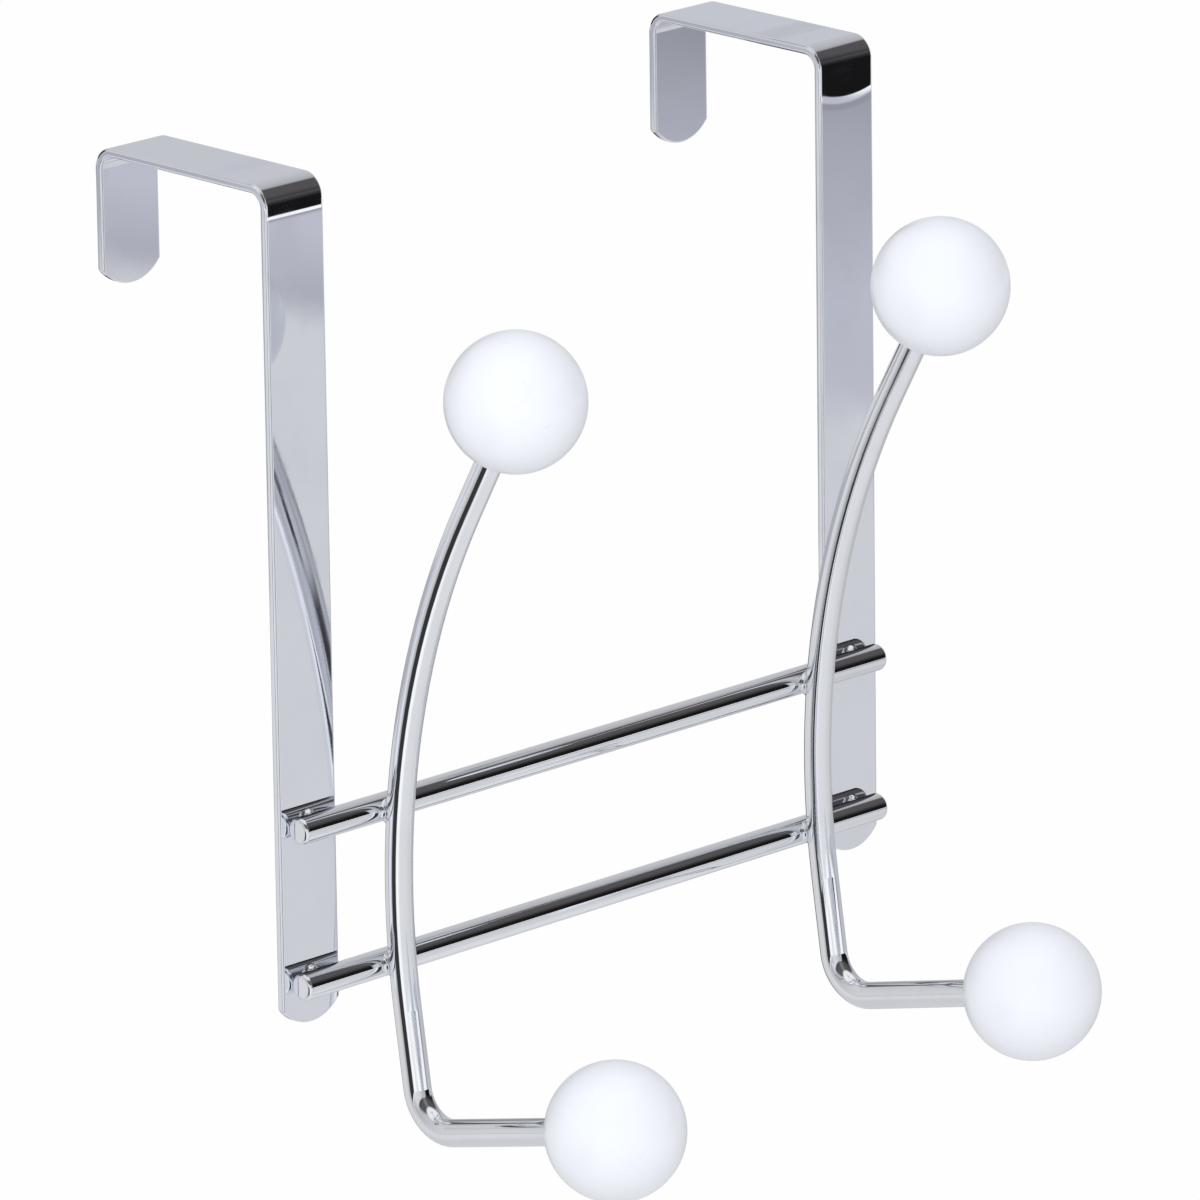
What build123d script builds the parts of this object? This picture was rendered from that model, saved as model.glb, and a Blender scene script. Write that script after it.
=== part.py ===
from build123d import *
from math import cos, radians, sin, sqrt
import os

# Coat hook rail that hangs over the top edge of a door. Two bent flat straps
# carry two crossbars, and two double hooks of round rod stand on the bars, with
# a ball on each of their four ends. Millimetres, +X along the bars, +Y into the
# door, +Z up. The origin is midway between the straps, where the front face
# of the door meets its top edge.

# Flat straps
strap_width = 16.0
strap_thickness = 2.0
strap_spacing = 163.0
door_gap = 49.0
rear_leg_length = 29.0
leg_below_bars = 9.5
bend_inner_radius = 3.0
end_crown = 4.0
end_corner_radius = 0.8
strap_edge_radius = 0.4

# Crossbars
bar_diameter = 6.0
bar_end_inset = 2.25
bar_end_radius = 0.9
upper_bar_drop = 137.5
bar_pitch = 34.5

# Hooks, each one length of rod bent in one plane
rod_diameter = 6.0
rod_end_chamfer = 0.6
hook_spacing = 126.0
hook_arc_radius = 178.0
upper_lean = 29.5
lower_lean = 8.5
upper_straight = 30.5
lower_corner_drop = 36.0
lower_bend_radius = 9.0
arm_rise = 14.0
arm_length = 60.5

# Balls, each with a blind bore for the end of its rod
ball_diameter = 30.0
rod_insertion = 12.0
bore_clearance = 0.05
bore_end_gap = 0.5
bore_mouth_chamfer = 0.3

# Welds, with how far each crossing sinks together
strap_set_down = 0.1
hook_set_down = 0.2
hook_weld_radius = 1.0
hook_weld_toe = 0.03
strap_weld_width = 4.4
strap_weld_height = 6.8

# Places that follow from the sizes above
bar_y = -(strap_thickness + bar_diameter / 2 - strap_set_down)
rod_y = bar_y - (bar_diameter + rod_diameter) / 2 + hook_set_down
upper_bar_z = -upper_bar_drop
lower_bar_z = -(upper_bar_drop + bar_pitch)
front_leg_length = leg_below_bars - lower_bar_z
bar_length = strap_spacing + strap_width - 2 * bar_end_inset
arc_z = (upper_bar_z + lower_bar_z) / 2
arc_y = rod_y - sqrt(hook_arc_radius**2 - (bar_pitch / 2) ** 2)
ball_radius = ball_diameter / 2

sides = {"left": -1, "right": 1}
levels = {"upper": upper_bar_z, "lower": lower_bar_z}


def crowned_end(leg_y, leg_length):
    """Waste below one leg, which leaves its end a shallow arc."""
    crown_radius = ((strap_width / 2) ** 2 + end_crown**2) / (2 * end_crown)
    waste = Pos(0, leg_y, -leg_length) * Box(
        strap_width, strap_thickness, end_crown, align=(Align.CENTER, Align.CENTER, Align.MIN)
    )
    crown = Rot(90, 0, 0) * Cylinder(crown_radius, strap_thickness)
    return waste - Pos(0, leg_y, crown_radius - leg_length) * crown


def bent_profile():
    """Side view of a strap: long front leg, bridge, short rear leg."""
    outer_radius = bend_inner_radius + strap_thickness
    outer = Pos(-strap_thickness, strap_thickness) * Rectangle(
        door_gap + 2 * strap_thickness, front_leg_length + strap_thickness, align=(Align.MIN, Align.MAX)
    )
    outer = fillet(outer.vertices().group_by(Axis.Y)[-1], outer_radius)
    inner = Rectangle(door_gap, front_leg_length, align=(Align.MIN, Align.MAX))
    inner = fillet(inner.vertices().group_by(Axis.Y)[-1], bend_inner_radius)
    below_rear = Pos(door_gap, -rear_leg_length) * Rectangle(
        strap_thickness, front_leg_length - rear_leg_length, align=(Align.MIN, Align.MAX)
    )
    return outer - inner - below_rear


def make_strap():
    """Flat strap about X = 0, with crowned leg ends and eased edges."""
    strap = extrude(Plane.YZ * bent_profile(), strap_width / 2, both=True)
    strap -= crowned_end(-strap_thickness / 2, front_leg_length)
    strap -= crowned_end(door_gap + strap_thickness / 2, rear_leg_length)
    below_bends = -(bend_inner_radius + strap_thickness)
    corners = [e for e in strap.edges().filter_by(Axis.Y) if e.center().Z < below_bends]
    strap = fillet(corners, end_corner_radius)
    crowns = [e for e in strap.edges().filter_by(GeomType.CIRCLE) if e.radius > strap_width / 2]
    return fillet(crowns, strap_edge_radius)


def make_crossbar():
    """Round bar about Z = 0 with rounded rims and a flat where it beds on each strap."""
    bar = Pos(0, bar_y, 0) * Rot(0, 90, 0) * Cylinder(bar_diameter / 2, bar_length)
    bar = fillet(bar.edges().filter_by(GeomType.CIRCLE), bar_end_radius)
    for side in sides.values():
        bed = Box(strap_width, strap_thickness, bar_diameter)
        bar -= Pos(side * strap_spacing / 2, -strap_thickness / 2, 0) * bed
    return bar


def on_arc(angle):
    """Point of the hook's big arc at this angle above its upright tangent."""
    turn = radians(angle)
    return Vector(arc_y + hook_arc_radius * cos(turn), arc_z + hook_arc_radius * sin(turn))


def along(lean):
    """Upward direction of rod that leans forward by this angle."""
    return Vector(-sin(radians(lean)), cos(radians(lean)))


def lower_corner():
    """Where the leaning leg below the bars and the lower arm would meet."""
    foot = on_arc(-lower_lean)
    fall = foot.Y - (lower_bar_z - lower_corner_drop)
    return foot - along(-lower_lean) * (fall / cos(radians(lower_lean)))


# Direction of the rod out of each ball, and each ball's centre, in the hook's plane
arm_direction = Vector(-cos(radians(arm_rise)), sin(radians(arm_rise)))
ball_places = {
    "upper": (on_arc(upper_lean) + along(upper_lean) * upper_straight, along(upper_lean) * -1),
    "lower": (lower_corner() + arm_direction * arm_length, arm_direction * -1),
}


def rod_end(level):
    """End of the rod inside a ball."""
    centre, outward = ball_places[level]
    return centre + outward * (ball_radius - rod_insertion)


def bend_rod(radius):
    """Round rod of a hook about X = 0: straight top, big arc, leaning leg, tight bend, arm."""
    top = Line(rod_end("upper"), on_arc(upper_lean))
    arc = CenterArc((arc_y, arc_z), hook_arc_radius, upper_lean, -(upper_lean + lower_lean))
    corners = (on_arc(-lower_lean), lower_corner(), rod_end("lower"))
    path = Plane.YZ * Curve([top, arc, FilletPolyline(*corners, radius=lower_bend_radius)])
    rod = sweep(Plane(path @ 0, z_dir=path % 0) * Circle(radius), path=path)
    tips = [rod.faces().sort_by(Axis.Z)[-1], rod.faces().filter_by(GeomType.PLANE).sort_by(Axis.Z)[0]]
    return chamfer([face.edge() for face in tips], rod_end_chamfer)


def make_ball(level):
    """Ball with a blind bore that points back along its rod."""
    centre, outward = ball_places[level]
    bore_radius = rod_diameter / 2 + bore_clearance
    bore_floor = ball_radius - rod_insertion - bore_end_gap
    mouth = sqrt(ball_radius**2 - bore_radius**2)
    bore = Cylinder(bore_radius, ball_radius, align=(Align.CENTER, Align.CENTER, Align.MIN))
    countersink = Cone(bore_radius, bore_radius + 2 * bore_mouth_chamfer, 2 * bore_mouth_chamfer)
    ball = Sphere(ball_radius) - Pos(0, 0, bore_floor) * bore - Pos(0, 0, mouth) * countersink
    return Plane((0, centre.X, centre.Y), z_dir=(0, outward.X, outward.Y)) * ball


def bar_stretch(bar_z, radius):
    """Short plain stretch of a bar, about X = 0, to strike and trim weld metal against."""
    return Pos(0, bar_y, bar_z) * Rot(0, 90, 0) * Cylinder(radius, 4 * rod_diameter)


def make_strap_weld(bar_z):
    """Beads squeezed out above and below the line where a bar beds on a strap."""
    half = EllipticalCenterArc((0, 0), strap_weld_width / 2, strap_weld_height / 2, -90, arc_size=180)
    lens = revolve(Plane.XZ * make_face(half + Line(half @ 1, half @ 0)), Axis.Z)
    in_front = split(lens, bisect_by=Plane.XZ, keep=Keep.TOP)
    return Pos(0, -strap_thickness, bar_z) * in_front - bar_stretch(bar_z, bar_diameter / 2)


def make_hook_weld(rod, slim_rod, bar_z):
    """Concave fillet around a crossing, struck just inside both surfaces for a clean toe."""
    joined = slim_rod + bar_stretch(bar_z, bar_diameter / 2 - hook_weld_toe)
    crossing = Vector(0, (bar_y + rod_y) / 2, bar_z)
    seam = [e for e in joined.edges() if (e.center() - crossing).length < rod_diameter / 4]
    return fillet(seam, hook_weld_radius) - rod - bar_stretch(bar_z, bar_diameter / 2)


def main():
    os.makedirs("parts", exist_ok=True)
    pieces = {}
    strap = make_strap()
    bar = make_crossbar()
    rod = bend_rod(rod_diameter / 2)
    slim_rod = bend_rod(rod_diameter / 2 - hook_weld_toe)
    hook = rod
    for z in levels.values():
        # Shallow saddle where the rod sits on the bar
        hook -= bar_stretch(z, bar_diameter / 2)
    for level, z in levels.items():
        pieces[f"crossbar_{level}"] = Pos(0, 0, z) * bar
    for side, sign in sides.items():
        strap_place = Pos(sign * strap_spacing / 2, 0, 0)
        hook_place = Pos(sign * hook_spacing / 2, 0, 0)
        pieces[f"strap_{side}"] = strap_place * strap
        pieces[f"hook_{side}"] = hook_place * hook
        for level, z in levels.items():
            pieces[f"ball_{level}_{side}"] = hook_place * make_ball(level)
            pieces[f"strap_weld_{level}_{side}"] = strap_place * make_strap_weld(z)
            pieces[f"hook_weld_{level}_{side}"] = hook_place * make_hook_weld(rod, slim_rod, z)
    for name, piece in pieces.items():
        piece.label = name
        export_step(piece, f"parts/{name}.step")
        print(name, round(piece.volume, 1))


main()
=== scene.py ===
# %% [markdown]
# Over-door coat hook rail
#
# Two flat straps hang over the top edge of a door. They carry two round crossbars, and two double hooks
# of round rod stand on the bars, each tipped with two white balls. Everything but the balls is chrome
# plated, so most of this lesson is about what polished metal shows: the room around it.

# %% Load the fixed frame
from math import cos, pi, radians, sin

import bpy
from mathutils import Matrix, Vector

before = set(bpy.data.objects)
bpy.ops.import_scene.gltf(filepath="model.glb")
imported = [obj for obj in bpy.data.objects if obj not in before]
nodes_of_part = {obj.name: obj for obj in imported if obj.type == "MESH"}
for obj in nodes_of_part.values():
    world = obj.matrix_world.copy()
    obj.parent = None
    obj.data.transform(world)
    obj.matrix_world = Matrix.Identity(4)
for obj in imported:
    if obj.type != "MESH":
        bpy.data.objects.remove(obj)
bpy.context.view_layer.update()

scene = bpy.context.scene


# %% [markdown]
# The camera
#
# A product like this is photographed from a few metres away through a long lens, which keeps its upright
# lines upright. A camera can be aimed by hand until the picture looks right, or worked out from measured
# points. Here the angles, the place and the lens come from such a measurement. The camera's matrix is
# built from its own three directions: right, up and back.

# %% Place the camera
view_azimuth = radians(-44.098)
view_elevation = radians(16.556)
view_roll = radians(-0.794)
camera_place = Vector((-1.61107, -1.66970, 0.58306))
sensor_width = 36.0
focal_in_frame_widths = 9.39935
far_clip = 50.0

camera_data = bpy.data.cameras.new("product_camera")
camera_data.sensor_width = sensor_width
camera_data.lens = sensor_width * focal_in_frame_widths
camera_data.clip_end = far_clip
camera = bpy.data.objects.new("product_camera", camera_data)
scene.collection.objects.link(camera)

back = Vector((sin(view_azimuth) * cos(view_elevation), -cos(view_azimuth) * cos(view_elevation),
               sin(view_elevation)))
level_right = Vector((0, 0, 1)).cross(back).normalized()
level_up = back.cross(level_right)
right = cos(view_roll) * level_right + sin(view_roll) * level_up
up = cos(view_roll) * level_up - sin(view_roll) * level_right
turn = Matrix((right, up, back)).transposed().to_4x4()
camera.matrix_world = Matrix.Translation(camera_place) @ turn
scene.camera = camera
print("lens:", round(camera_data.lens, 1), "mm, distance:", round(camera_place.length, 3), "m")

# %% [markdown]
# Colour handling
#
# Blender can bend colours to look like film. A product picture on white wants them as they are written,
# so the view transform is Standard.

# %% Set the view transform
scene.view_settings.view_transform = "Standard"
print("view transform:", scene.view_settings.view_transform)

# %% [markdown]
# Helpers for node trees
#
# Materials, the world and the shared effects are all trees of nodes. Each node could be made, set and
# linked line by line. A few small helpers keep the cells short instead: they add a node, give each of its
# inputs a constant or another node's output, and hand back the result for the next node.

# %% Node helpers
def feed(tree, value, socket):
    """Gives an input socket a constant, or links another node's output to it."""
    if isinstance(value, bpy.types.NodeSocket):
        tree.links.new(value, socket)
    else:
        socket.default_value = value


def add_node(tree, kind, label, settings=None, **inputs):
    """Adds one node. Inputs go by name, with _ for a space, or by place, as _0, _1 and so on."""
    node = tree.nodes.new(kind)
    node.name = node.label = label
    for key, value in (settings or {}).items():
        setattr(node, key, value)
    for key, value in inputs.items():
        feed(tree, value, node.inputs[int(key[1:]) if key[1:].isdigit() else key.replace("_", " ")])
    return node


def calculate(tree, label, operation, *values):
    """Result of a Math node. Each value is a number or a socket."""
    node = add_node(tree, "ShaderNodeMath", label, {"operation": operation})
    for value, socket in zip(values, node.inputs):
        feed(tree, value, socket)
    return node.outputs["Value"]


print("node helpers ready")

# %% [markdown]
# Groups, and compass bearings
#
# An effect that is used in several places could be copied into each of them. A node group is tidier: a
# small tree of its own, with named inputs and outputs. The first one serves the room and the floor, which
# both change as one turns round the part. It turns a direction or a place into a bearing, from 0 to 1 for
# a whole turn, which a colour ramp can read. Its middle is the front.

# %% Group and ramp helpers
def new_group(name, inputs, outputs):
    """Node group with sockets of given names and kinds. Returns it, and the sockets' ends inside it."""
    group = bpy.data.node_groups.new(name, "ShaderNodeTree")
    for in_out, sockets in (("INPUT", inputs), ("OUTPUT", outputs)):
        for socket_name, kind in sockets.items():
            group.interface.new_socket(socket_name, in_out=in_out, socket_type="NodeSocket" + kind)
    entry = add_node(group, "NodeGroupInput", "entry")
    leave = add_node(group, "NodeGroupOutput", "leave")
    return group, entry.outputs, leave.inputs


def parts_of(tree, label, vector):
    """The X, Y and Z of a vector, as sockets."""
    return add_node(tree, "ShaderNodeSeparateXYZ", label, Vector=vector).outputs


def shade_ramp(tree, label, source, stops):
    """Colour ramp through stops, each a place from 0 to 1 and its grey or colour."""
    node = add_node(tree, "ShaderNodeValToRGB", label, Fac=source)
    elements = node.color_ramp.elements
    while len(elements) > 1:
        elements.remove(elements[-1])
    for index, (place, shade) in enumerate(stops):
        stop = elements[0] if index == 0 else elements.new(place)
        stop.position = place
        stop.color = (*shade, 1) if isinstance(shade, tuple) else (shade, shade, shade, 1)
    return node.outputs["Color"]


print("group and ramp helpers ready")

# %% Build the shared bearing group
front_bearing = 0.5

bearing_group, bearing_in, bearing_out = new_group("compass_bearing", {"Towards": "Vector"},
                                                   {"Bearing": "Float"})
way = parts_of(bearing_group, "split", bearing_in["Towards"])
front = calculate(bearing_group, "towards the front", "MULTIPLY", way["Y"], -1.0)
angle = calculate(bearing_group, "angle", "ARCTAN2", way["X"], front)
part_of_turn = calculate(bearing_group, "part of a turn", "MULTIPLY_ADD", angle, 1 / (2 * pi),
                         front_bearing)
feed(bearing_group, part_of_turn, bearing_out["Bearing"])


def shades_round(tree, label, towards, stops):
    """Colour ramp round the compass, with stops in degrees from the front towards the right."""
    bearing = add_node(tree, "ShaderNodeGroup", label + " bearing", {"node_tree": bearing_group},
                       Towards=towards)
    places = [(degrees / 360 + front_bearing, shade) for degrees, shade in stops]
    return shade_ramp(tree, label, bearing.outputs["Bearing"], places)


print("bearing group nodes:", len(bearing_group.nodes))

# %% [markdown]
# Masks and mixes
#
# The room, the floor and the finishes all lay one shade over another where a mask says so. A mask is a
# measure, such as a height, turned into a step from 0 to 1. A hard step would leave a jagged border, so
# most masks here rise softly.

# %% Mask and mix helpers
def even_step(tree, label, source, low, high, shape="LINEAR", **ends):
    """Value that rises from 0 to 1, or between given ends, as the source goes from low to high."""
    step = add_node(tree, "ShaderNodeMapRange", label, {"interpolation_type": shape}, Value=source,
                    From_Min=low, From_Max=high, **ends)
    return step.outputs["Result"]


def soft_step(tree, label, source, low, high, **ends):
    """The same rise, with a gentle start and end."""
    return even_step(tree, label, source, low, high, "SMOOTHSTEP", **ends)


def lay_over(tree, label, mask, under, over):
    """Colour that is under where the mask is 0 and over where it is 1. Each is a socket or a colour."""
    under, over = ((*shade, 1) if isinstance(shade, tuple) else shade for shade in (under, over))
    # A Mix node keeps its colours at inputs 6 and 7, and the mixed colour at output 2
    mix = add_node(tree, "ShaderNodeMix", label, {"data_type": "RGBA"}, Factor=mask, _6=under, _7=over)
    return mix.outputs[2]


print("mask and mix helpers ready")

# %% [markdown]
# The room that the chrome reflects
#
# Polished chrome has next to no colour of its own. What makes it read as metal is the room: a white floor
# below, a dark room past the floor's edge, pale walls and a large soft light overhead. The room could be
# built from cards and lamps around the part. Here it is painted on the world by direction instead, and
# only reflections see it, so that it stays sharp and free of noise. The walls have a low and a high band,
# each with its shades round the compass, and the heights are those of a direction of length 1.

# %% Choose the room's shades
low_wall = [(-180, 0.05), (-162, 0.06), (-150, 0.72), (-140, 0.76), (-118, 0.66), (-100, 0.55),
            (-70, 0.85), (-30, 0.80), (0, 0.40), (22, 0.010), (74, 0.008), (87, 0.40), (100, 0.48),
            (120, 0.56), (136, (0.64, 0.655, 0.69)), (140, 0.62), (147, 0.30), (158, 0.10), (180, 0.05)]
high_wall = [(-180, 0.62), (-150, 0.74), (-118, 0.66), (-90, 0.60), (-78, 0.40), (-70, 0.03),
             (-24, 0.03), (-10, 0.20), (22, 0.010), (83, 0.010), (93, 0.44), (100, 0.48), (120, 0.56),
             (138, (0.62, 0.635, 0.67)), (144, 0.46), (156, 0.44), (166, 0.62), (180, 0.62)]
edge_round = [(-180, 0.75), (-112, 0.80), (-92, 1.15), (42.5, 1.15), (45.2, (0.60, 0.61, 0.66)),
              (49, (0.60, 0.61, 0.66)), (54, 1.15), (95, 1.15), (118, 0.80), (180, 0.75)]
ceiling_light = (1.0, 1.0, 1.0)
dust_haze = (0.95, 0.88, 0.88)
print("wall stops:", len(low_wall), "low,", len(high_wall), "high")

# %% Choose the heights where they meet
wall_foot_top = (-0.095, -0.080)
band_border = (0.26, 0.38)
haze_rise = (0.18, 0.60)
thickest_haze = 0.10
ceiling_edge = (0.78, 0.88)
print("walls from", wall_foot_top[1], "to", ceiling_edge[0])

# %% Paint the room
studio, studio_in, studio_out = new_group("studio_room", {"Direction": "Vector"}, {"Brightness": "Color"})
direction = studio_in["Direction"]
height = parts_of(studio, "split direction", direction)["Z"]
lower = shades_round(studio, "low wall", direction, low_wall)
upper = shades_round(studio, "high wall", direction, high_wall)
wall_foot = shades_round(studio, "wall foot", direction, edge_round)
high_up = soft_step(studio, "high up", height, *band_border)
haze_higher = soft_step(studio, "haze higher up", height, *haze_rise, To_Max=thickest_haze)
above_edge = soft_step(studio, "above the floor's edge", height, *wall_foot_top)
overhead = soft_step(studio, "ceiling light", height, *ceiling_edge)
room = lay_over(studio, "low or high wall", high_up, lower, upper)
room = lay_over(studio, "haze before the walls", haze_higher, room, dust_haze)
room = lay_over(studio, "edge or walls", above_edge, wall_foot, room)
room = lay_over(studio, "walls or ceiling", overhead, room, ceiling_light)
feed(studio, room, studio_out["Brightness"])
print("room nodes:", len(studio.nodes))

# %% [markdown]
# The world
#
# Three kinds of ray look at the world. The camera's rays see plain white paper. Reflections see the room.
# Light that reaches a dull surface, such as a white ball, is soft and even, a little brighter from above.
# One picture of a room could serve all three, but a room that suits the chrome would shade the balls
# unevenly.

# %% Helper for an empty tree
def empty_tree(owner):
    """Cleared node tree of a material or a world."""
    owner.use_nodes = True
    owner.node_tree.nodes.clear()
    return owner.node_tree


print("tree helper ready")

# %% Build the world
straight_down = -1.0
straight_up = 1.0
soft_below = 0.63
soft_above = 0.725
white_paper = (1.0, 1.0, 1.0)

world = bpy.data.worlds.new("studio")
scene.world = world
sky = empty_tree(world)
sky_way = add_node(sky, "ShaderNodeTexCoord", "direction").outputs["Generated"]
sky_rays = add_node(sky, "ShaderNodeLightPath", "kind of ray").outputs
sky_room = add_node(sky, "ShaderNodeGroup", "room", {"node_tree": studio}, Direction=sky_way)
sky_height = parts_of(sky, "height", sky_way)["Z"]
soft_level = even_step(sky, "brighter above", sky_height, straight_down, straight_up,
                       To_Min=soft_below, To_Max=soft_above)
mirror_rays = calculate(sky, "mirror or glass", "MAXIMUM", sky_rays["Is Glossy Ray"],
                        sky_rays["Is Transmission Ray"])
light = lay_over(sky, "soft light or room", mirror_rays, soft_level, sky_room.outputs["Brightness"])
light = lay_over(sky, "white paper", sky_rays["Is Camera Ray"], light, white_paper)
background = add_node(sky, "ShaderNodeBackground", "background", Color=light, Strength=1.0)
add_node(sky, "ShaderNodeOutputWorld", "world output", Surface=background.outputs["Background"])
print("world nodes:", len(sky.nodes))

# %% [markdown]
# The soft light overhead
#
# One broad lamp above the camera and a little to its left models the balls, which fall off towards their
# rims. The world alone could light them, but then they would look like flat discs. The lamp is hidden from
# reflections, because the room already holds the ceiling light.

# %% Hang the lamp
lamp_side = 1.2
lamp_energy = 21.0
lamp_place = (-1.50, -1.245, 1.17)
lamp_target = Vector((0, 0, -0.1))

lamp_data = bpy.data.lights.new("overhead_softbox", "AREA")
lamp_data.size = lamp_side
lamp_data.energy = lamp_energy
lamp = bpy.data.objects.new("overhead_softbox", lamp_data)
lamp.location = lamp_place
lamp.rotation_euler = (lamp_target - lamp.location).to_track_quat("-Z", "Y").to_euler()
lamp.visible_glossy = False
lamp.visible_camera = False
scene.collection.objects.link(lamp)
print("lamp:", lamp_side, "m square at", lamp_place)

# %% [markdown]
# The floor
#
# The rail hangs in the air as it would on a door, so the floor lies well below it, pale and matt. Chrome
# shows much more of it than the camera does: a black flag to the left, a paper sweep in front, a shaded
# stretch past it and a bright rim. They could be sheets of card, but those would show in other views.
# Here they are a painted reflection: painted light and shade, laid by place on one flat sheet that glows with
# them for reflections only.

# %% Lay the floor
floor_height = -0.42
floor_size = 6.0

half = floor_size / 2
floor_corners = [(-half, -half), (half, -half), (half, half), (-half, half)]
floor_mesh = bpy.data.meshes.new("floor")
floor_mesh.from_pydata([(x, y, floor_height) for x, y in floor_corners], [], [(0, 1, 2, 3)])
floor = bpy.data.objects.new("floor", floor_mesh)
scene.collection.objects.link(floor)
print("floor:", floor_size, "m square at", floor_height, "m")

# %% Choose the floor's shades
floor_round = [(-180, 0.78), (-160, 0.76), (-144, 0.80), (-128, 0.82), (-112, 0.62), (-104, 0.50),
               (-102, 0.045), (-73, 0.04), (-69, 1.15), (-54, 1.15), (-44, 0.88), (-20, 0.86),
               (15, 0.83), (38, 0.75), (60, 0.74), (75, 0.60), (110, 0.54), (126, 0.50), (142, 0.50),
               (148, 0.16), (166, 0.14), (172, 0.76), (180, 0.78)]
# Painted reflection shades: bright under the part, painted shade behind it.
under_part = (0.85, 0.85, 0.86)
behind_part = (0.72, 0.72, 0.73)
near_shade = (0.60, 0.60, 0.65)
back_shade = (0.50, 0.50, 0.54)
shaded_stretch = [(1.10, 0.49), (1.18, 0.63), (1.26, 0.55), (1.34, 0.50), (1.40, 0.45), (1.47, 0.36)]
blue_cast = 1.09
print("floor stops:", len(floor_round), "round,", len(shaded_stretch), "along the shaded stretch")

# %% Choose where they begin and end
middle_edge = (0.47, 0.60)
behind_edge = (-0.05, 0.12)
shade_direction = (0.984, -0.177, 0.0)
sweep_edge = (1.065, 1.105)
near_shade_edge = (-1.02, -0.90)
stretch_start = 1.0
stretch_end = 1.5
back_edge = (1.15, 1.24)
rim_edge = (2.05, 2.50)
print("sweep ends", sweep_edge[0], "m out, rim begins", rim_edge[0], "m out")

# %% Measure places on the floor
floor_paint = bpy.data.materials.new("pale_floor")
paint = empty_tree(floor_paint)
place = add_node(paint, "ShaderNodeTexCoord", "place on the floor").outputs["Object"]
back_place = parts_of(paint, "across and back", place)["Y"]
out_from_part = add_node(paint, "ShaderNodeVectorMath", "distance from the part", {"operation": "LENGTH"},
                         _0=place).outputs["Value"]
past_sweep = add_node(paint, "ShaderNodeVectorMath", "distance to the front right",
                      {"operation": "DOT_PRODUCT"}, _0=place, _1=shade_direction).outputs["Value"]
along_stretch = even_step(paint, "place in the shade", past_sweep, stretch_start, stretch_end)
stretch_stops = [((far - stretch_start) / (stretch_end - stretch_start), (grey, grey, blue_cast * grey))
                 for far, grey in shaded_stretch]
print("shade past the sweep starts at", round(stretch_stops[0][0], 2), "of its stretch")

# %% Paint what chrome sees of the floor
# Painted light and shade for reflections: a black flag, painted shade past the sweep and far back, and a
# painted bright rim.
round_part = shades_round(paint, "round the part", place, floor_round)
rim_shade = shades_round(paint, "rim shade", place, edge_round)
stretch_shade = shade_ramp(paint, "shade past the sweep", along_stretch, stretch_stops)
behind = soft_step(paint, "behind the part", back_place, *behind_edge)
outside = soft_step(paint, "outside the middle", out_from_part, *middle_edge)
nearer = soft_step(paint, "nearer part of the shade", back_place, *near_shade_edge)
shaded = soft_step(paint, "past the sweep", past_sweep, *sweep_edge)
far_back = soft_step(paint, "far back", back_place, *back_edge)
rim = soft_step(paint, "bright rim", out_from_part, *rim_edge)
shade = lay_over(paint, "near or far shade", nearer, stretch_shade, near_shade)
painted_reflection = lay_over(paint, "before or behind", behind, under_part, behind_part)
painted_reflection = lay_over(paint, "middle", outside, painted_reflection, round_part)
painted_reflection = lay_over(paint, "shaded stretch", shaded, painted_reflection, shade)
painted_reflection = lay_over(paint, "shade behind", far_back, painted_reflection, back_shade)
painted_reflection = lay_over(paint, "rim", rim, painted_reflection, rim_shade)
print("floor painting nodes:", len(paint.nodes))

# %% Finish the floor's material
matt_grey = (0.86, 0.86, 0.86, 1)
camera_white = (1, 1, 1, 1)
share_of_white = 0.97

paint_rays = add_node(paint, "ShaderNodeLightPath", "kind of ray").outputs
matt = add_node(paint, "ShaderNodeBsdfDiffuse", "matt paper", Color=matt_grey)
white = add_node(paint, "ShaderNodeEmission", "white to the camera", Color=camera_white, Strength=1.0)
# The floor glows with this painted reflection to glossy rays only, though it is no lamp.
reflected = add_node(paint, "ShaderNodeEmission", "as chrome shows it", Color=painted_reflection, Strength=1.0)
seen = calculate(paint, "mostly white", "MULTIPLY", paint_rays["Is Camera Ray"], share_of_white)
plain = add_node(paint, "ShaderNodeMixShader", "matt or white", Fac=seen, _1=matt.outputs["BSDF"],
                 _2=white.outputs["Emission"])
whole_floor = add_node(paint, "ShaderNodeMixShader", "plain or reflected", Fac=paint_rays["Is Glossy Ray"],
                       _1=plain.outputs["Shader"], _2=reflected.outputs["Emission"])
add_node(paint, "ShaderNodeOutputMaterial", "output", Surface=whole_floor.outputs["Shader"])
floor_mesh.materials.append(floor_paint)
print("floor material nodes:", len(paint.nodes))

# %% [markdown]
# What chrome plate looks like close up
#
# Plate copies whatever lies under it. Flat strip comes off the rollers with long shallow waves, drawn rod
# has faint lines along it, and weld metal stays rippled. On top of that the polish varies a little, so
# some patches are hazier than others. Three materials share these effects with different values, so they
# go into one node group that puts out a shade, a roughness and a height.

# %% Helpers for surface effects
def noise(tree, label, place, scale, detail, roughness):
    """Grey of a noise texture, from 0 to 1."""
    texture = add_node(tree, "ShaderNodeTexNoise", label, Vector=place, Scale=scale, Detail=detail,
                       Roughness=roughness)
    return texture.outputs["Fac"]


def relief(tree, label, height, distance, sinks=False, **base):
    """Normal of a surface that rises, or sinks, by its height times the distance."""
    bump = add_node(tree, "ShaderNodeBump", label, {"invert": sinks}, Strength=1.0, Distance=distance,
                    Height=height, **base)
    return bump.outputs["Normal"]


print("surface helpers ready")

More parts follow.
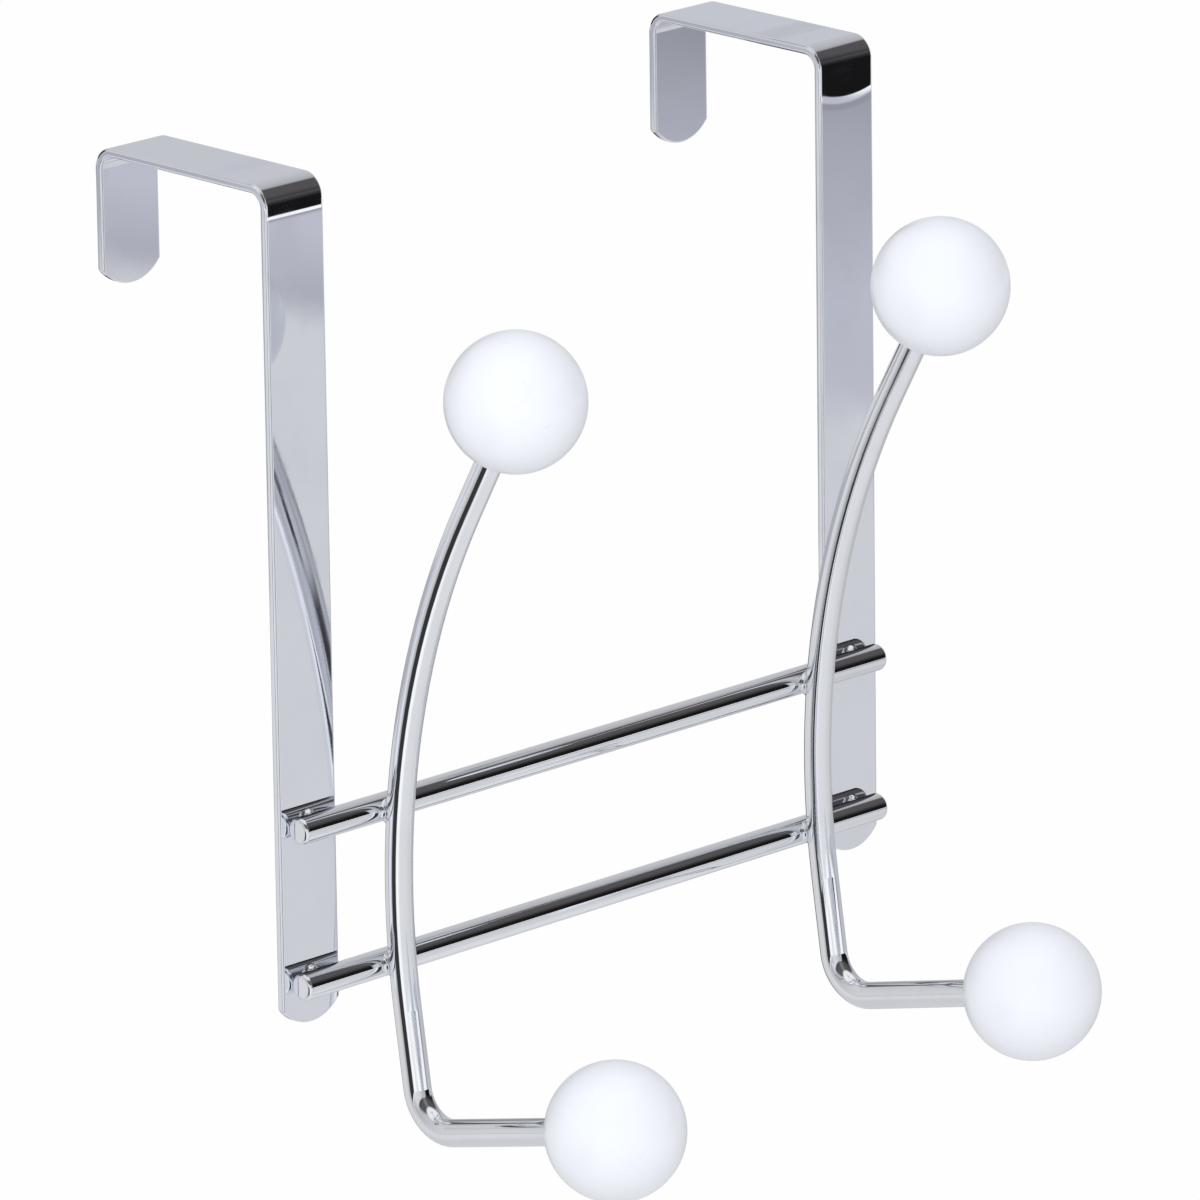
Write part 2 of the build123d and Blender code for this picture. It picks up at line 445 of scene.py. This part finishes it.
# %% Build the shared plating group
plating, plate_in, plate_out = new_group(
    "plated_surface",
    {"Wave Size": "Float", "Haze Size": "Float", "Smoothest": "Float", "Haziest": "Float",
     "Pit Size": "Float", "Stretch": "Vector"},
    {"Shade": "Float", "Roughness": "Float", "Height": "Float"})
plate_place = add_node(plating, "ShaderNodeTexCoord", "where").outputs["Object"]
drawn = add_node(plating, "ShaderNodeVectorMath", "stretched along the stock", {"operation": "MULTIPLY"},
                 _0=plate_place, _1=plate_in["Stretch"]).outputs["Vector"]
waves = noise(plating, "long waves", drawn, plate_in["Wave Size"], detail=1.0, roughness=0.4)
haze = noise(plating, "haze", plate_place, plate_in["Haze Size"], detail=5.0, roughness=0.6)
pits = noise(plating, "fine grain", drawn, plate_in["Pit Size"], detail=2.0, roughness=0.6)
print("plating inputs:", [socket.name for socket in plate_in if socket.name])

# %% Join the plating effects
haze_edge = (0.42, 0.72)
haziest_shade = 0.93
grain_share = 0.012

hazy = soft_step(plating, "haze mask", haze, *haze_edge)
feed(plating, even_step(plating, "shade", hazy, 0.0, 1.0, To_Min=1.0, To_Max=haziest_shade),
     plate_out["Shade"])
feed(plating, even_step(plating, "roughness", hazy, 0.0, 1.0, To_Min=plate_in["Smoothest"],
                        To_Max=plate_in["Haziest"]), plate_out["Roughness"])
feed(plating, calculate(plating, "waves and grain", "MULTIPLY_ADD", pits, grain_share, waves),
     plate_out["Height"])
print("plating outputs:", [socket.name for socket in plate_out if socket.name])

# %% [markdown]
# Chrome finishes
#
# Three chrome finishes use the group: on strap, on rod and on weld. One finish could serve all, but the
# flat strap would then ripple like a weld. The wave height is in metres, and tiny: a few hundredths of a
# millimetre are enough to bend a reflection on a polished strap.

# %% Make the chrome materials
deep_haze = (0.40, 0.40, 0.42)


def chrome(name, colour, wave_height, **effect):
    """Chrome plate of one kind of stock, from the shared plating group."""
    material = bpy.data.materials.new(name)
    material.use_nodes = True
    tree = material.node_tree
    shader = tree.nodes["Principled BSDF"].inputs
    shader["Metallic"].default_value = 1.0
    plate = add_node(tree, "ShaderNodeGroup", "plated surface", {"node_tree": plating}, **effect).outputs
    feed(tree, lay_over(tree, "tint", plate["Shade"], deep_haze, colour), shader["Base Color"])
    feed(tree, plate["Roughness"], shader["Roughness"])
    feed(tree, relief(tree, "relief", plate["Height"], wave_height), shader["Normal"])
    return material


chrome_strap = chrome("chrome_on_strap", (0.79, 0.81, 0.875), wave_height=0.00006, Wave_Size=28.0,
                      Haze_Size=45.0, Smoothest=0.03, Haziest=0.09, Pit_Size=900.0, Stretch=(1.0, 1.0, 0.5))
chrome_rod = chrome("chrome_on_rod", (0.80, 0.82, 0.86), wave_height=0.00002, Wave_Size=60.0,
                    Haze_Size=70.0, Smoothest=0.03, Haziest=0.08, Pit_Size=1200.0, Stretch=(1.0, 1.0, 1.0))
chrome_weld = chrome("chrome_on_weld", (0.76, 0.78, 0.82), wave_height=0.00012, Wave_Size=420.0,
                     Haze_Size=300.0, Smoothest=0.06, Haziest=0.16, Pit_Size=2500.0, Stretch=(1.0, 1.0, 1.0))
print("chrome:", [m.name for m in (chrome_strap, chrome_rod, chrome_weld)])

# %% [markdown]
# How the straps leave their bends
#
# Strip that is bent cold springs back a little, so the flat next to a bend leans towards it by a few degrees
# before it runs straight. The outline hardly shows this, but the polish does: the dark room runs on below
# the bend, down to a thin bright line where the floor begins. The right strap leans over a longer stretch,
# and more in the middle of its width. The mesh could be bent to it, but here every mesh is kept as it
# is. So the lean is a relief in the finish, and grows from a line below the bend. Lengths are in metres.

# %% Choose the lean
lean_line = {"left": -0.0049, "right": -0.0094}
lean_softness = {"left": 0.0013, "right": 0.0026}
lean_top = -0.0010
lean_slope = 0.14
hollow_depth = 0.0013
right_strap_centre = 0.0815
half_width = 0.0080
between_straps = (-0.001, 0.001)
behind_front_leg = (0.010, 0.020)
turned_to_side = (0.5, 0.9)
print("lean:", lean_slope, "rise per length, from", lean_line)

# %% Measure where the strap leans
strap_tree = chrome_strap.node_tree
strap_where = add_node(strap_tree, "ShaderNodeTexCoord", "place on the strap").outputs
strap_place = parts_of(strap_tree, "across, back and up", strap_where["Object"])
faces_way = parts_of(strap_tree, "way the surface faces", strap_where["Normal"])
off_centre = calculate(strap_tree, "off the centre line", "SUBTRACT", strap_place["X"], right_strap_centre)
off_squared = calculate(strap_tree, "off the centre, squared", "POWER", off_centre, 2.0)
hollow = even_step(strap_tree, "hollow across", off_squared, 0.0, half_width**2, To_Min=hollow_depth,
                   To_Max=0.0)
start_line = soft_step(strap_tree, "left or right strap", strap_place["X"], *between_straps,
                       To_Min=lean_line["left"], To_Max=lean_line["right"])
softness = soft_step(strap_tree, "softness of the lean", strap_place["X"], *between_straps,
                     To_Min=lean_softness["left"], To_Max=lean_softness["right"])
front_only = soft_step(strap_tree, "front leg only", strap_place["Y"], *behind_front_leg, To_Min=1.0,
                       To_Max=0.0)
sideways = calculate(strap_tree, "faces sideways", "ABSOLUTE", faces_way["X"])
not_side = soft_step(strap_tree, "broad faces only", sideways, *turned_to_side, To_Min=1.0, To_Max=0.0)
print("hollow across the right strap:", hollow_depth * 1000, "mm")

# %% Add the lean to the strap's finish
below_top = calculate(strap_tree, "height, up to the bend", "MINIMUM", strap_place["Z"], lean_top)
above_line = calculate(strap_tree, "height above the line", "SUBTRACT", below_top, start_line)
with_hollow = calculate(strap_tree, "with the hollow", "ADD", above_line, hollow)
lean = calculate(strap_tree, "lean", "SMOOTH_MAX", with_hollow, 0.0, softness)
where_lean = calculate(strap_tree, "where it leans", "MULTIPLY", front_only, not_side)
front_lean = calculate(strap_tree, "lean of the front leg", "MULTIPLY", lean, where_lean)
leaning = relief(strap_tree, "eased bend", front_lean, lean_slope, sinks=True,
                 Normal=strap_tree.nodes["relief"].outputs["Normal"])
print("strap finish nodes with the lean:", len(strap_tree.nodes))

# %% [markdown]
# Rolled edges
#
# Flat strip isn't cut square: rolling leaves each long edge a little round. The mesh has that rounding, a
# few tenths of a millimetre, and chrome shows it as thin dark and bright lines along the edges. The finish
# only widens it slightly, as polishing does. A group turns a point's distance from the strip's middle into
# how far the surface has dropped there. The strap's finish uses it twice: across the width for the broad
# faces, and through the thickness for the narrow sides. The second measure has to follow the strip round
# its bends, so it is taken from the centre of the nearer bend.

# %% Build the rolled edge group
rolled_edge, edge_in, edge_out = new_group(
    "rolled_edge", {"Place": "Float", "Middle": "Float", "Half Size": "Float", "Roll": "Float"},
    {"Drop": "Float"})
edge_off = calculate(rolled_edge, "off the middle", "SUBTRACT", edge_in["Place"], edge_in["Middle"])
edge_far = calculate(rolled_edge, "distance", "ABSOLUTE", edge_off)
edge_start = calculate(rolled_edge, "where the roll starts", "SUBTRACT", edge_in["Half Size"],
                       edge_in["Roll"])
edge_share = even_step(rolled_edge, "share of the roll", edge_far, edge_start, edge_in["Half Size"])
edge_curve = calculate(rolled_edge, "round", "POWER", edge_share, 2.0)
edge_drop = calculate(rolled_edge, "drop", "MULTIPLY", edge_curve, edge_in["Roll"])
feed(rolled_edge, edge_drop, edge_out["Drop"])
print("rolled edge inputs:", [socket.name for socket in edge_in if socket.name])

# %% Measure through the strip, round its bends
bridge_middle = 0.0245
bend_centre = {"y": 0.0030, "z": -0.0030}
bend_middle_radius = 0.0040

from_middle = calculate(strap_tree, "from the bridge's middle", "SUBTRACT", strap_place["Y"], bridge_middle)
folded = calculate(strap_tree, "both legs alike", "ABSOLUTE", from_middle)
from_centre = calculate(strap_tree, "from the bend's centre", "SUBTRACT",
                        bridge_middle - bend_centre["y"], folded)
outwards = calculate(strap_tree, "outwards only", "MINIMUM", from_centre, 0.0)
over_centre = calculate(strap_tree, "above the bend's centre", "SUBTRACT", strap_place["Z"],
                        bend_centre["z"])
upwards = calculate(strap_tree, "upwards only", "MAXIMUM", over_centre, 0.0)
to_strip = add_node(strap_tree, "ShaderNodeCombineXYZ", "from bend to strip", Y=outwards, Z=upwards)
strip_radius = add_node(strap_tree, "ShaderNodeVectorMath", "radius", {"operation": "LENGTH"},
                        _0=to_strip.outputs["Vector"]).outputs["Value"]
print("radius to the middle of the strip:", bend_middle_radius * 1000, "mm")

# %% Roll the straps' edges
side_half = 0.00085
roll_size = 0.0005

which_side = calculate(strap_tree, "either strap", "ABSOLUTE", strap_place["X"])
across = add_node(strap_tree, "ShaderNodeGroup", "across the width", {"node_tree": rolled_edge},
                  Place=which_side, Middle=right_strap_centre, Half_Size=half_width, Roll=roll_size)
through = add_node(strap_tree, "ShaderNodeGroup", "through the thickness", {"node_tree": rolled_edge},
                   Place=strip_radius, Middle=bend_middle_radius, Half_Size=side_half, Roll=roll_size)
both_drops = calculate(strap_tree, "both drops", "ADD", across.outputs["Drop"], through.outputs["Drop"])
rolled = relief(strap_tree, "rolled edges", both_drops, distance=1.0, sinks=True, Normal=leaning)
feed(strap_tree, rolled, strap_tree.nodes["Principled BSDF"].inputs["Normal"])
print("strap finish nodes:", len(strap_tree.nodes))

# %% [markdown]
# The white balls
#
# The balls are turned or moulded in white with a soft gloss. One flat colour and one gloss would do from
# afar. Up close a real ball is a little uneven, which keeps the highlight from looking computed, so a
# cloudy noise varies the white and the gloss, and a finer one gives a faint orange peel.

# %% Make the ball material
ball_whites = ((0.880, 0.905, 0.978), (0.895, 0.920, 0.985))
cloud_range = (0.3, 0.7)
ball_gloss = (0.27, 0.32)
peel_depth = 0.000012

white_ball = bpy.data.materials.new("white_lacquer")
white_ball.use_nodes = True
lacquer = white_ball.node_tree
ball_shader = lacquer.nodes["Principled BSDF"].inputs
ball_place = add_node(lacquer, "ShaderNodeTexCoord", "where").outputs["Object"]
cloud = noise(lacquer, "cloudiness", ball_place, scale=90.0, detail=3.0, roughness=0.5)
peel = noise(lacquer, "orange peel", ball_place, scale=900.0, detail=1.0, roughness=0.5)
ball_rough = even_step(lacquer, "soft gloss", cloud, *cloud_range, To_Min=ball_gloss[0], To_Max=ball_gloss[1])
feed(lacquer, lay_over(lacquer, "white", cloud, *ball_whites), ball_shader["Base Color"])
feed(lacquer, ball_rough, ball_shader["Roughness"])
feed(lacquer, relief(lacquer, "peel relief", peel, peel_depth), ball_shader["Normal"])
print("ball material nodes:", len(lacquer.nodes))

# %% [markdown]
# Dress the frame
#
# Every piece of the frame already has its exact shape, rounded edges, bores and weld fillets included. New
# meshes could replace the pieces, but they would only repeat those shapes. So each piece keeps its mesh and
# gets a finish through its material slot. The welds come first in the list, because their names start with
# the name of the piece that they hold.

# %% Give each piece its finish
finishes = {"strap_weld": chrome_weld, "hook_weld": chrome_weld, "strap": chrome_strap,
            "crossbar": chrome_rod, "hook": chrome_rod, "ball": white_ball}
for name, piece in sorted(nodes_of_part.items()):
    kind = next(start for start in finishes if name.startswith(start))
    piece.material_slots[0].material = finishes[kind]
    print(name, "->", finishes[kind].name)
